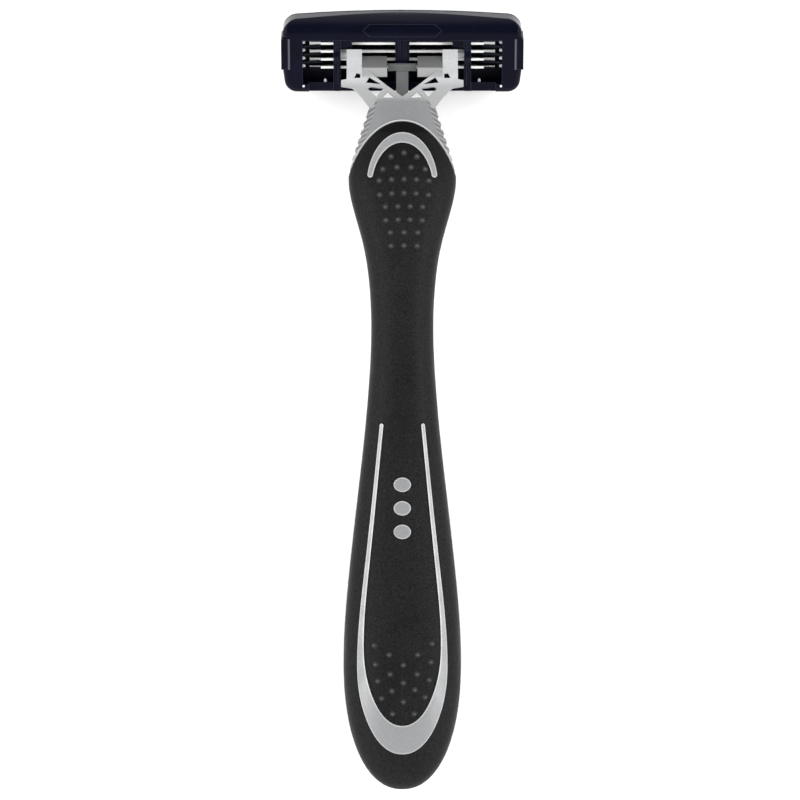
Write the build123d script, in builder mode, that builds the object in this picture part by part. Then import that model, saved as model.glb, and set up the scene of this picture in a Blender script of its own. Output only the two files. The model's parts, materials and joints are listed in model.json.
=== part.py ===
from build123d import *
import os
from math import cos, pi, radians, sin

os.makedirs("parts", exist_ok=True)

# A cartridge razor lying blades down, in millimetres.
# X runs across the cartridge, +Y runs from the butt to the head, +Z is up.
# ROOM is longer than any of the solids that cut or bound a sub-part needs to be.
# The origin is below the middle of the razor, on the surface that it lies on.

# ---------------------------------------------------------------- handle
HALF_LENGTH = 68.2
NECK_END_Y = 52.1
GRIP_WALL = 1.3
ROOM = 30
COLLAR_DROP = 0.15
CORE_FRONT_Y = 49.5
TRIM_PROUD = 0.18
TRIM_GAP = 0.1
UPPER_TRIM_BASE = 11.4
LOWER_TRIM_BASE = 8.6
SECTION_POWER = 2.5
SECTION_POINTS = 16

# Stations along the handle: y, half width, centre height, half depth.
HANDLE_STATIONS = [
    (NECK_END_Y, 5.65, 10.3, 2.9),
    (49.5, 6.4, 10.6, 3.15),
    (46.0, 7.55, 10.9, 3.5),
    (42.5, 8.65, 11.2, 3.85),
    (39.0, 9.35, 11.4, 4.1),
    (35.0, 8.95, 11.5, 4.3),
    (31.0, 7.9, 11.5, 4.4),
    (26.0, 6.6, 11.4, 4.45),
    (20.0, 5.75, 11.1, 4.45),
    (12.5, 5.42, 10.7, 4.45),
    (4.0, 5.75, 10.1, 4.5),
    (-6.0, 6.6, 9.3, 4.6),
    (-18.0, 7.95, 8.3, 4.9),
    (-31.0, 9.4, 7.1, 5.4),
]
BUTT_Y = -46.0
BUTT_HALF_WIDTH = 10.3
BUTT_HALF_DEPTH = 6.0
BUTT_CENTRE_Z = 6.03
BUTT_POWER = 2.2
BUTT_STEPS = (0, 22, 42, 58, 70, 79, 85.5, 88.8)

# Rubber edge on the collar: the top of a tall ellipse across the handle.
ARCH_TOP_Y = 48.3
ARCH_HALF_WIDTH = 11.0
ARCH_HEIGHT = 19.95

# Upper trim: a crescent between two ellipses, with rounded ends.
CRESCENT_OUTER = (37.0, 6.18, 9.4)
CRESCENT_INNER = (36.6, 5.33, 8.0)
CRESCENT_END_Y = 39.0
CRESCENT_END_X = 5.56
CRESCENT_END_RADIUS = 0.48
CRESCENT_CUT = 10

# Lower trim: a long loop, open at its top.
LOOP_TOP_Y = -4.4
LOOP_LEG_X = 3.6
LOOP_LEG_WIDTH = 0.63
LOOP_OUTER_BOTTOM_Y = -61.7
LOOP_INNER_BOTTOM_Y = -56.7

# Plain emblem: a column of three ovals.
OVAL_HALF_WIDTH = 1.5
OVAL_HALF_HEIGHT = 1.25
OVAL_PITCH = 4.1
OVAL_MIDDLE_Y = -18.8

# Flutes down the flanks of the collar.
FLUTE_COUNT = 6
FLUTE_PITCH = 1.5
FLUTE_FIRST_Y = 48.9
FLUTE_RADIUS = 0.5
FLUTE_DEPTH = 0.28
FLANK_X = 6.25
FLANK_Y = 49.5
FLANK_SLOPE = 0.327

# ---------------------------------------------------------------- cartridge
TILT = 22
PIVOT_Y = 60.5
FRAME_HALF_WIDTH = 20.95
FRAME_TOP = 7.2
FRAME_CORNER_TOP = 6.6
FRAME_BOTTOM = -6.65
CORNER_X = 17.6
CORNER_RADIUS = 2.7
LOWER_CORNER_RADIUS = 2.2
SIDE_KINK_V = -2.4
BOTTOM_HALF_WIDTH = 20.4
END_BACK = 1.2
CAP_RADIUS = 3.2
BACK_FILLET = 0.9
FRONT_FILLET = 0.5
RAIL_BACK = 0.0
FACE = -3.7
COVER_BACK = -2.6
PIVOT_Z = -FACE * cos(radians(TILT)) - FRAME_BOTTOM * sin(radians(TILT))
WINDOW_HALF_WIDTH = 17.45
WINDOW_TOP = 2.9
WINDOW_BOTTOM = -5.1
LOBE_START_X = 16.4
LOBE_INNER_V = -4.6
RECESS_DEPTH = 0.25

EAR_INNER_X = 10.8
EAR_OUTER_X = 12.05
EAR_BACK = 1.0
EAR_BOSS_RADIUS = 1.45
EAR_FRONT = -1.05
EAR_GROOVE_X = (11.3, 11.6)
WEB_START_X = 8.8
WEB_LOW = 1.25
WEB_BACK = 0.3
SLOT_HALF_WIDTH = 0.25
PIN_RADIUS = 0.6
PIN_CLEARANCE = 0.05
PIN_END_X = 11.75

POST_HALF_WIDTH = 1.25
POST_GROOVE_X = (0.3, 0.6)
POST_FOOT_BACK = -0.35
GROOVE_DEPTH = 0.2
CLIP_THICKNESS = 0.25
CLIP_LOW = -2.3
CLIP_HIGH = 3.25
CLIP_FRONT_X = 18.9
CLIP_RIB_X = 19.8
CLIP_RIB_RADIUS = 0.3
OPENING_HALF_WIDTH = 16.3
OPENING_BACK_HALF_WIDTH = 17.0
OPENING_LIP = 0.2
OPENING_LOW = -3.4
OPENING_HIGH = 2.55
STRIP_HALF_WIDTH = 17.8
STRIP_DEPTH = 0.7
LUBRICATING_STRIP_V = (3.0, 5.6)
GUARD_STRIP_V = (-5.9, -3.7)
FIN_COUNT = 5
FIN_GROOVE = 0.2
POST_BACK = 0.45
CAM_V = -2.2
CAM_RADIUS = 0.9

# ---------------------------------------------------------------- blades
BLADE_COUNT = 4
BLADE_PITCH = 1.45
FIRST_BLADE_V = 1.55
BLADE_ANGLE = 22
BLADE_HALF_LENGTH = 16.2
BLADE_THICKNESS = 0.1
BLADE_REACH = 1.15
EDGE_OVERHANG = 0.35
EDGE_W = FACE + 0.02
BEVEL_LENGTH = 0.28
LEG_THICKNESS = 0.4
LEG_HALF_LENGTH = 14.3
PLATFORM_THICKNESS = 0.2
PLATFORM_HALF_LENGTH = 16.8
LEG_BACK = -1.5

FINGER_TIP_X = 13.7
FINGER_WIDTH = 0.5
FINGER_OFFSET = 0.72
FINGER_FRONT = -2.84

# ---------------------------------------------------------------- yoke and tongue
YOKE_PIN_BOSS = 0.8
SHIELD_INNER_X = 2.65
ARM_INNER_X = 7.05
ARM_OUTER_X = 9.7
TONGUE_Y = 51.0
TONGUE_Z = 8.95
TONGUE_ROOT_RADIUS = 0.6
TONGUE_ROOT_HALF_WIDTH = 1.9
TONGUE_THICKNESS = 0.9
CROSSBAR_START_Y = 57.6
CROSSBAR_END_Y = 58.9
CROSSBAR_HEIGHT = 1.05
STEM_HALF_WIDTH = 1.05
CROSSBAR_HALF_WIDTH = 2.5
CAM_GAP = 0.03

# The cartridge's own plane: x across, y towards the cap, z out of the back.
TILT_COS = cos(radians(TILT))
TILT_SIN = sin(radians(TILT))
CARTRIDGE = Plane(origin=(0, PIVOT_Y, PIVOT_Z), x_dir=(1, 0, 0), z_dir=(0, -TILT_SIN, TILT_COS))
# A section through the cartridge: x towards the cap, y out of the back.
SECTION = Plane(origin=(0, PIVOT_Y, PIVOT_Z), x_dir=(0, TILT_COS, TILT_SIN), z_dir=(1, 0, 0))
# A section along the cartridge: x across, y into its front.
ACROSS = Plane(origin=(0, PIVOT_Y, PIVOT_Z), x_dir=(1, 0, 0), z_dir=(0, TILT_COS, TILT_SIN))
# A section through the handle: x towards the head, y up.
SIDE = Plane(origin=(0, 0, 0), x_dir=(0, 1, 0), z_dir=(1, 0, 0))


def blade_v(number):
    """Height of a blade's support up the cartridge, counted from the cap."""
    return FIRST_BLADE_V - number * BLADE_PITCH


def superellipse(half_width, half_depth, centre_z):
    """Points of a rounded section in the XZ plane, starting at the underside."""
    points = []
    for step in range(SECTION_POINTS):
        angle = 2 * pi * step / SECTION_POINTS - pi / 2
        across, up = cos(angle), sin(angle)
        power = 2 / SECTION_POWER
        x = half_width * abs(across) ** power * (1 if across >= 0 else -1)
        z = half_depth * abs(up) ** power * (1 if up >= 0 else -1)
        points.append((x, centre_z + z))
    return points


def handle_skin(grow, front=NECK_END_Y):
    """The handle's outer form from its butt to a front plane, offset outwards by grow."""
    stations = [(y, a + grow, z, b + grow) for y, a, z, b in HANDLE_STATIONS if y <= front]
    length = HALF_LENGTH + BUTT_Y + grow
    for step in BUTT_STEPS:
        run = sin(radians(step))
        size = (1 - run**BUTT_POWER) ** (1 / BUTT_POWER)
        half_width = (BUTT_HALF_WIDTH + grow) * size
        half_depth = (BUTT_HALF_DEPTH + grow) * size
        stations.append((BUTT_Y - length * run, half_width, BUTT_CENTRE_Z, half_depth))
    with BuildPart() as skin:
        for y, half_width, centre_z, half_depth in stations:
            with BuildSketch(Plane((0, y, 0), x_dir=(1, 0, 0), z_dir=(0, -1, 0))):
                with BuildLine():
                    Spline(*superellipse(half_width, half_depth, centre_z), periodic=True)
                make_face()
        loft()
    return skin.part


outer_skin = handle_skin(0)
inner_skin = handle_skin(-GRIP_WALL, CORE_FRONT_Y)
trim_skin = handle_skin(TRIM_PROUD)
collar_skin = handle_skin(-COLLAR_DROP)


def ellipse_cap(centre_y, half_width, height, grow):
    """Upper half of an ellipse, as a closed sketch line on XY."""
    with BuildLine() as line:
        half = EllipticalCenterArc((0, centre_y), half_width + grow, height + grow, arc_size=180)
        Line(half @ 1, half @ 0)
    return line.line


def crescent_sketch(grow):
    """Upper trim seen from above."""
    with BuildSketch() as sketch:
        with BuildLine():
            add(ellipse_cap(*CRESCENT_OUTER, grow))
        make_face()
        with BuildLine():
            add(ellipse_cap(*CRESCENT_INNER, -grow))
        make_face(mode=Mode.SUBTRACT)
        with Locations((0, CRESCENT_END_Y)):
            Rectangle(ROOM, CRESCENT_CUT, align=(Align.CENTER, Align.MAX), mode=Mode.SUBTRACT)
        with Locations((-CRESCENT_END_X, CRESCENT_END_Y), (CRESCENT_END_X, CRESCENT_END_Y)):
            Circle(CRESCENT_END_RADIUS + grow)
    return sketch.sketch


def loop_sketch(grow):
    """Lower trim seen from above: two legs that spread into a rounded foot."""
    half_leg = LOOP_LEG_WIDTH / 2 + grow
    top_outer = (LOOP_LEG_X + half_leg, LOOP_TOP_Y)
    top_inner = (LOOP_LEG_X - half_leg, LOOP_TOP_Y)
    with BuildSketch() as sketch:
        with BuildLine():
            outer = Spline(
                top_outer,
                (6.38 + grow, -27.9),
                (7.85 + grow, -44.5),
                (6.6 + grow, -54.7),
                (0, LOOP_OUTER_BOTTOM_Y - grow),
                tangents=((0.1, -1), (-1, 0)),
            )
            inner = Spline(
                top_inner,
                (5.63 - grow, -27.9),
                (6.72 - grow, -42.0),
                (5.5 - grow, -50.8),
                (0, LOOP_INNER_BOTTOM_Y + grow),
                tangents=((0.1, -1), (-1, 0)),
            )
            Line(outer @ 1, inner @ 1)
            Line(outer @ 0, inner @ 0)
        make_face()
        mirror(about=Plane.YZ)
        with Locations((-LOOP_LEG_X, LOOP_TOP_Y), (LOOP_LEG_X, LOOP_TOP_Y)):
            Circle(half_leg)
    return sketch.sketch


def emblem_sketch(grow):
    """Three plain ovals in a column."""
    with BuildSketch() as sketch:
        with Locations([(0, OVAL_MIDDLE_Y + step * OVAL_PITCH) for step in (-1, 0, 1)]):
            Ellipse(OVAL_HALF_WIDTH + grow, OVAL_HALF_HEIGHT + grow)
    return sketch.sketch


def prism(sketch, base):
    """A sketch raised from a height inside the handle to above it."""
    with BuildPart() as solid:
        with BuildSketch(Plane.XY.offset(base)):
            add(sketch)
        extrude(amount=ROOM)
    return solid.part


# ---------------------------------------------------------------- head yoke
YOKE_OUTLINE = [
    (0, 48.5),
    (4.2, 48.5),
    (4.2, 50.6),
    (5.7, 50.8),
    (6.8, 52.3),
    (8.0, 53.7),
    (8.8, 54.3),
    (10.65, 54.6),
    (10.65, 55.7),
    (ARM_OUTER_X, 55.9),
    (ARM_OUTER_X, 62.0),
    (ARM_INNER_X, 62.0),
    (ARM_INNER_X, 57.3),
    (6.1, 57.5),
    (2.7, 54.75),
    (0, 52.75),
]
YOKE_HOLES = [
    [(8.4, 56.1), (7.3, 56.1), (7.3, 56.9), (8.0, 57.0)],
    [(6.35, 55.25), (5.75, 56.25), (3.7, 54.95)],
    [(6.1, 54.2), (5.5, 54.5), (3.3, 54.2), (4.5, 52.75)],
    [(2.6, 53.65), (3.5, 52.6), (1.3, 52.6)],
]


def yoke_side():
    """Side view of the yoke: out of the collar, down to the pins."""
    pin_y, pin_z = PIVOT_Y, PIVOT_Z
    with BuildSketch(SIDE) as sketch:
        with BuildLine():
            boss_top = (pin_y + YOKE_PIN_BOSS, 7.4)
            top = Spline((48.5, 12.1), (52.5, 12.0), (55.4, 10.9), (57.6, 9.0), boss_top)
            bottom = Spline((48.5, 9.9), (52.5, 9.85), (55.6, 8.9), (57.4, 7.4))
            tip = ThreePointArc(
                (pin_y + YOKE_PIN_BOSS, pin_z),
                (pin_y, pin_z - YOKE_PIN_BOSS),
                (pin_y - YOKE_PIN_BOSS * 0.8, pin_z - YOKE_PIN_BOSS * 0.6),
            )
            Line(top @ 1, tip @ 0)
            Line(tip @ 1, bottom @ 1)
            Line(top @ 0, bottom @ 0)
        make_face()
    return sketch.sketch


# Folded shields that reach in from both arms towards the tongue.
SHIELD_PROFILE = [(56.4, 9.3), (58.0, 8.9), (60.2, 6.6), (60.2, 5.8), (57.7, 8.1), (56.4, 8.4)]

with BuildPart() as head_yoke:
    with BuildSketch(Plane.XY):
        with BuildLine():
            Polyline(*YOKE_OUTLINE, close=True)
        make_face()
        for corners in YOKE_HOLES:
            with BuildLine():
                Polyline(*corners, close=True)
            make_face(mode=Mode.SUBTRACT)
        mirror(about=Plane.YZ)
    extrude(amount=ROOM)
    extrude(yoke_side(), amount=ROOM, both=True, mode=Mode.INTERSECT)
    for side in (-1, 1):
        with BuildSketch(SIDE.offset(side * SHIELD_INNER_X)):
            with BuildLine():
                Polyline(*SHIELD_PROFILE, close=True)
            make_face()
        extrude(amount=side * (ARM_INNER_X - SHIELD_INNER_X))
        with BuildSketch(SIDE.offset(side * ARM_OUTER_X)):
            with Locations((PIVOT_Y, PIVOT_Z)):
                Circle(PIN_RADIUS)
        extrude(amount=side * (PIN_END_X - ARM_OUTER_X))
head_yoke.part.label = "head_yoke"

# ---------------------------------------------------------------- return tongue
CAM_CENTRE_Z = PIVOT_Z + CAM_V * TILT_SIN
TONGUE_BOTTOM_Z = CAM_CENTRE_Z + CAM_RADIUS + CAM_GAP


def tongue_side(thickness):
    """Side view of the tongue's stem, from its root down to the crossbar."""
    with BuildSketch(SIDE) as sketch:
        with BuildLine():
            low = Spline(
                (TONGUE_Y, TONGUE_Z - thickness / 2),
                (54.0, 8.0 - thickness / 2),
                (57.7, TONGUE_BOTTOM_Z),
                tangents=((1, -0.15), (1, -0.35)),
            )
            high = Spline(
                (TONGUE_Y, TONGUE_Z + thickness / 2),
                (54.0, 8.0 + thickness / 2),
                (57.7, TONGUE_BOTTOM_Z + thickness),
                tangents=((1, -0.15), (1, -0.35)),
            )
            Line(low @ 1, high @ 1)
            Line(low @ 0, high @ 0)
        make_face()
    return sketch.sketch


with BuildPart() as return_tongue:
    extrude(tongue_side(TONGUE_THICKNESS), amount=STEM_HALF_WIDTH, both=True)
    with BuildSketch(SIDE):
        with Locations((TONGUE_Y, TONGUE_Z)):
            Circle(TONGUE_ROOT_RADIUS)
    extrude(amount=TONGUE_ROOT_HALF_WIDTH, both=True)
    with BuildSketch(SIDE):
        with BuildLine():
            Polyline(
                (CROSSBAR_START_Y, TONGUE_BOTTOM_Z),
                (CROSSBAR_END_Y, TONGUE_BOTTOM_Z),
                (CROSSBAR_END_Y, TONGUE_BOTTOM_Z + 0.7 * CROSSBAR_HEIGHT),
                (CROSSBAR_END_Y - 0.3 * CROSSBAR_HEIGHT, TONGUE_BOTTOM_Z + CROSSBAR_HEIGHT),
                (CROSSBAR_START_Y, TONGUE_BOTTOM_Z + CROSSBAR_HEIGHT),
                close=True,
            )
        make_face()
    extrude(amount=CROSSBAR_HALF_WIDTH, both=True)
return_tongue.part.label = "return_tongue"

# Room that the tongue needs inside the collar: its root's socket and its swing.
with BuildPart() as tongue_room:
    with BuildSketch(SIDE):
        with Locations((TONGUE_Y, TONGUE_Z)):
            Circle(TONGUE_ROOT_RADIUS + PIN_CLEARANCE)
    extrude(amount=TONGUE_ROOT_HALF_WIDTH + 0.1, both=True)
    with BuildSketch(SIDE):
        with BuildLine():
            Polyline(
                (TONGUE_Y, TONGUE_Z - 0.5),
                (NECK_END_Y + 1, TONGUE_Z - 1.1),
                (NECK_END_Y + 1, TONGUE_Z + 1.1),
                (TONGUE_Y, TONGUE_Z + 0.55),
                close=True,
            )
        make_face()
    extrude(amount=STEM_HALF_WIDTH + 0.15, both=True)

# ---------------------------------------------------------------- handle
with BuildPart() as beyond_arch:
    with BuildSketch(Plane.XY):
        with Locations((0, ARCH_TOP_Y - ARCH_HEIGHT)):
            Rectangle(ROOM, ROOM, align=(Align.CENTER, Align.MIN))
        with BuildLine():
            add(ellipse_cap(ARCH_TOP_Y - ARCH_HEIGHT, ARCH_HALF_WIDTH, ARCH_HEIGHT, 0))
        make_face(mode=Mode.SUBTRACT)
    extrude(amount=ROOM)

with BuildPart() as handle_core:
    add(inner_skin)
    add(head_yoke.part, mode=Mode.SUBTRACT)
handle_core.part.label = "handle_core"

with BuildPart() as neck_collar:
    add(collar_skin)
    add(beyond_arch.part, mode=Mode.INTERSECT)
    add(inner_skin, mode=Mode.SUBTRACT)
    flutes = []
    for step in range(FLUTE_COUNT):
        y = FLUTE_FIRST_Y - step * FLUTE_PITCH
        x = FLANK_X + (FLANK_Y - y) * FLANK_SLOPE + FLUTE_RADIUS - FLUTE_DEPTH
        flutes.append((x, y))
        flutes.append((-x, y))
    with BuildSketch(Plane.XY):
        with Locations(flutes):
            Circle(FLUTE_RADIUS)
    extrude(amount=ROOM, mode=Mode.SUBTRACT)
    add(head_yoke.part, mode=Mode.SUBTRACT)
    add(tongue_room.part, mode=Mode.SUBTRACT)
neck_collar.part.label = "neck_collar"

with BuildPart() as upper_trim:
    add(trim_skin)
    add(prism(crescent_sketch(0), UPPER_TRIM_BASE), mode=Mode.INTERSECT)
    add(inner_skin, mode=Mode.SUBTRACT)
upper_trim.part.label = "upper_trim"

with BuildPart() as lower_trim:
    add(trim_skin)
    add(prism(loop_sketch(0), LOWER_TRIM_BASE), mode=Mode.INTERSECT)
    add(inner_skin, mode=Mode.SUBTRACT)
lower_trim.part.label = "lower_trim"

with BuildPart() as emblem_inlay:
    add(trim_skin)
    add(prism(emblem_sketch(0), LOWER_TRIM_BASE), mode=Mode.INTERSECT)
    add(inner_skin, mode=Mode.SUBTRACT)
emblem_inlay.part.label = "emblem_inlay"

with BuildPart() as rubber_grip:
    add(outer_skin)
    add(inner_skin, mode=Mode.SUBTRACT)
    add(beyond_arch.part, mode=Mode.SUBTRACT)
    add(prism(crescent_sketch(TRIM_GAP), UPPER_TRIM_BASE), mode=Mode.SUBTRACT)
    add(prism(loop_sketch(TRIM_GAP), LOWER_TRIM_BASE), mode=Mode.SUBTRACT)
    add(prism(emblem_sketch(TRIM_GAP), LOWER_TRIM_BASE), mode=Mode.SUBTRACT)
rubber_grip.part.label = "rubber_grip"


# ---------------------------------------------------------------- cartridge housing
def cartridge_outline():
    """The cartridge seen from its back."""
    with BuildSketch() as sketch:
        with BuildLine():
            ThreePointArc((CORNER_X, FRAME_CORNER_TOP), (0, FRAME_TOP), (-CORNER_X, FRAME_CORNER_TOP))
            Polyline(
                (-CORNER_X, FRAME_CORNER_TOP),
                (-FRAME_HALF_WIDTH, FRAME_CORNER_TOP - 0.15),
                (-FRAME_HALF_WIDTH, SIDE_KINK_V),
                (-BOTTOM_HALF_WIDTH, FRAME_BOTTOM),
                (BOTTOM_HALF_WIDTH, FRAME_BOTTOM),
                (FRAME_HALF_WIDTH, SIDE_KINK_V),
                (FRAME_HALF_WIDTH, FRAME_CORNER_TOP - 0.15),
                (CORNER_X, FRAME_CORNER_TOP),
            )
        make_face()
        upper = sketch.vertices().filter_by(lambda v: abs(v.X) > CORNER_X + 1 and v.Y > 0)
        fillet(upper, CORNER_RADIUS)
        lower = sketch.vertices().filter_by(lambda v: v.Y < FRAME_BOTTOM + 0.1)
        fillet(lower, LOWER_CORNER_RADIUS)
    return sketch.sketch


def slab(sketch, low, high):
    """A cartridge-plane sketch made solid between two heights."""
    with BuildPart() as solid:
        with BuildSketch(CARTRIDGE.offset(low)):
            add(sketch)
        extrude(amount=high - low)
    return solid.part


def block(x_low, x_high, v_low, v_high, w_low, w_high):
    """A plain block in the cartridge's own coordinates."""
    with BuildPart() as solid:
        with BuildSketch(CARTRIDGE.offset(w_low)):
            with Locations(((x_low + x_high) / 2, (v_low + v_high) / 2)):
                Rectangle(x_high - x_low, v_high - v_low)
        extrude(amount=w_high - w_low)
    return solid.part


def bar(half_width, v_low, v_high, w_low, w_high):
    """A block centred on the cartridge's width."""
    return block(-half_width, half_width, v_low, v_high, w_low, w_high)


def both_sides(x_low, x_high, v_low, v_high, w_low, w_high):
    """A block and its mirror image."""
    right = block(x_low, x_high, v_low, v_high, w_low, w_high)
    left = block(-x_high, -x_low, v_low, v_high, w_low, w_high)
    return [right, left]


def profile(points, x_low, x_high):
    """A closed outline in the cartridge's section, made solid between two widths."""
    with BuildPart() as solid:
        with BuildSketch(SECTION.offset(x_low)):
            with BuildLine():
                Polyline(*points, close=True)
            make_face()
        extrude(amount=x_high - x_low)
    return solid.part


def rod(v, w, radius, x_low, x_high):
    """A round rod or bore along the cartridge's width."""
    with BuildPart() as solid:
        with BuildSketch(SECTION.offset(x_low)):
            with Locations((v, w)):
                Circle(radius)
        extrude(amount=x_high - x_low)
    return solid.part


outline = cartridge_outline()
WINDOW_SPAN = (WINDOW_BOTTOM - 0.1, WINDOW_TOP + 0.1)
EARS = [(EAR_INNER_X, EAR_OUTER_X), (-EAR_OUTER_X, -EAR_INNER_X)]
blade_slots = []
for number in range(BLADE_COUNT):
    slot = (blade_v(number) - SLOT_HALF_WIDTH, blade_v(number) + SLOT_HALF_WIDTH)
    blade_slots += both_sides(EAR_INNER_X - 0.1, EAR_OUTER_X + 0.1, *slot, -ROOM, EAR_FRONT)


def below_cap(drop):
    """All that lies under the rounded back of the cap, or under a skin inside it."""
    middle_v = FRAME_TOP - CAP_RADIUS
    middle_w = END_BACK - CAP_RADIUS
    radius = CAP_RADIUS - drop
    slant = radius / 2**0.5
    with BuildPart() as solid:
        with BuildSketch(SECTION):
            with BuildLine():
                ThreePointArc(
                    (middle_v, middle_w + radius),
                    (middle_v + slant, middle_w + slant),
                    (middle_v + radius, middle_w),
                )
                Polyline(
                    (middle_v + radius, middle_w),
                    (middle_v + radius, -ROOM),
                    (-ROOM, -ROOM),
                    (-ROOM, middle_w + radius),
                    (middle_v, middle_w + radius),
                )
            make_face()
        extrude(amount=ROOM, both=True)
    return solid.part


def recess_sketch():
    """Plain six-sided recess in the top band."""
    with BuildSketch() as sketch:
        with BuildLine():
            Polyline((-6.9, 4.7), (-5.7, 5.7), (5.7, 5.7), (6.9, 4.7), (5.7, 3.6), (-5.7, 3.6), close=True)
        make_face()
    return sketch.sketch


with BuildPart() as recess:
    add(slab(recess_sketch(), 0, END_BACK))
    add(below_cap(RECESS_DEPTH), mode=Mode.SUBTRACT)

with BuildPart() as cartridge_frame:
    add(slab(outline, COVER_BACK, END_BACK))
    top_face = cartridge_frame.faces().sort_by(Axis(CARTRIDGE.origin, CARTRIDGE.z_dir))[-1]
    fillet(top_face.edges(), BACK_FILLET)
    add(below_cap(0), mode=Mode.INTERSECT)
    add(recess.part, mode=Mode.SUBTRACT)
    add(bar(LOBE_START_X, -ROOM, LOBE_INNER_V, RAIL_BACK, ROOM), mode=Mode.SUBTRACT)
    add(bar(WINDOW_HALF_WIDTH, WINDOW_BOTTOM, WINDOW_TOP, -ROOM, ROOM), mode=Mode.SUBTRACT)
    # Bearing posts with their combs, the webs beside them and the middle post.
    add(both_sides(EAR_INNER_X, EAR_OUTER_X, FRAME_BOTTOM + 0.3, WINDOW_TOP + 0.4, EAR_FRONT, EAR_BACK))
    add(both_sides(EAR_INNER_X, EAR_OUTER_X, *WINDOW_SPAN, COVER_BACK, EAR_FRONT))
    add(blade_slots, mode=Mode.SUBTRACT)
    in_front_of_ears = bar(ROOM, -ROOM, ROOM, -ROOM, EAR_FRONT)
    add([rod(0, 0, EAR_BOSS_RADIUS, *ear).cut(in_front_of_ears) for ear in EARS])
    add(both_sides(WEB_START_X, EAR_INNER_X, WEB_LOW, WINDOW_TOP + 0.1, EAR_FRONT, WEB_BACK))
    add(bar(POST_HALF_WIDTH, CAM_V, WINDOW_TOP + 0.4, EAR_FRONT, POST_BACK))
    add(rod(CAM_V, 0, CAM_RADIUS, -POST_HALF_WIDTH, POST_HALF_WIDTH))
    add(bar(POST_HALF_WIDTH, WINDOW_SPAN[0], CAM_V, EAR_FRONT, POST_FOOT_BACK))
    add([rod(0, 0, PIN_RADIUS + PIN_CLEARANCE, *ear) for ear in EARS], mode=Mode.SUBTRACT)
    # Grooves down the bearing posts and the middle post.
    add(both_sides(*EAR_GROOVE_X, *WINDOW_SPAN, EAR_BACK - GROOVE_DEPTH, EAR_BACK), mode=Mode.SUBTRACT)
    add(
        both_sides(*POST_GROOVE_X, CAM_V + CAM_RADIUS, WINDOW_TOP, POST_BACK - GROOVE_DEPTH, POST_BACK),
        mode=Mode.SUBTRACT,
    )
cartridge_frame.part.label = "cartridge_frame"

with BuildPart() as face_cover:
    add(slab(outline, FACE, COVER_BACK))
    front_face = face_cover.faces().sort_by(Axis(CARTRIDGE.origin, CARTRIDGE.z_dir))[0]
    fillet(front_face.edges(), FRONT_FILLET)
    add(bar(OPENING_HALF_WIDTH, OPENING_LOW, OPENING_HIGH, -ROOM, 0), mode=Mode.SUBTRACT)
    add(
        bar(OPENING_BACK_HALF_WIDTH, OPENING_LOW, OPENING_HIGH, FACE + OPENING_LIP, 0),
        mode=Mode.SUBTRACT,
    )
    for low, high in (LUBRICATING_STRIP_V, GUARD_STRIP_V):
        add(bar(STRIP_HALF_WIDTH, low, high, -ROOM, FACE + STRIP_DEPTH), mode=Mode.SUBTRACT)
    add(
        both_sides(CLIP_FRONT_X, ROOM, CLIP_LOW, CLIP_HIGH, -ROOM, FACE + CLIP_THICKNESS),
        mode=Mode.SUBTRACT,
    )
face_cover.part.label = "face_cover"

with BuildPart() as lubricating_strip:
    add(bar(STRIP_HALF_WIDTH, *LUBRICATING_STRIP_V, FACE, FACE + STRIP_DEPTH))
lubricating_strip.part.label = "lubricating_strip"

with BuildPart() as guard_strip:
    add(bar(STRIP_HALF_WIDTH, *GUARD_STRIP_V, FACE, FACE + STRIP_DEPTH))
    fin_pitch = (GUARD_STRIP_V[1] - GUARD_STRIP_V[0]) / FIN_COUNT
    for step in range(1, FIN_COUNT):
        middle = GUARD_STRIP_V[0] + step * fin_pitch
        low, high = middle - FIN_GROOVE / 2, middle + FIN_GROOVE / 2
        add(bar(ROOM, low, high, -ROOM, FACE + STRIP_DEPTH / 2), mode=Mode.SUBTRACT)
guard_strip.part.label = "guard_strip"


def end_clip(side):
    """A flat clip bent round one end of the cartridge, with a rounded rib down its back edge."""
    reach = FRAME_HALF_WIDTH + CLIP_THICKNESS
    back = END_BACK + CLIP_THICKNESS - 0.05
    low, high = sorted((side * CLIP_FRONT_X, side * reach))
    inner_low, inner_high = sorted((side * (CLIP_FRONT_X - 1), side * FRAME_HALF_WIDTH))
    back_low, back_high = sorted((side * (CLIP_FRONT_X - 1), side * CLIP_RIB_X))
    with BuildPart() as clip:
        add(block(low, high, CLIP_LOW, CLIP_HIGH, FACE, back))
        add(
            block(inner_low, inner_high, CLIP_LOW - 1, CLIP_HIGH + 1, FACE + CLIP_THICKNESS, END_BACK),
            mode=Mode.SUBTRACT,
        )
        add(block(back_low, back_high, CLIP_LOW - 1, CLIP_HIGH + 1, 0, ROOM), mode=Mode.SUBTRACT)
        with BuildSketch(ACROSS.offset(CLIP_LOW)):
            with Locations((side * CLIP_RIB_X, -END_BACK)):
                Circle(CLIP_RIB_RADIUS)
                Rectangle(ROOM, ROOM, align=(Align.CENTER, Align.MIN), mode=Mode.SUBTRACT)
        extrude(amount=CLIP_HIGH - CLIP_LOW)
    return clip.part


end_clip_left = end_clip(-1)
end_clip_left.label = "end_clip_left"
end_clip_right = end_clip(1)
end_clip_right.label = "end_clip_right"

# ---------------------------------------------------------------- blades
SLOPE_V = cos(radians(BLADE_ANGLE))
SLOPE_W = sin(radians(BLADE_ANGLE))


def on_blade(number, along, behind):
    """A point given by its distance along a blade from the edge and behind its face."""
    v = blade_v(number) - EDGE_OVERHANG + along * SLOPE_V - behind * SLOPE_W
    w = EDGE_W + along * SLOPE_W + behind * SLOPE_V
    return (v, w)


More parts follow.
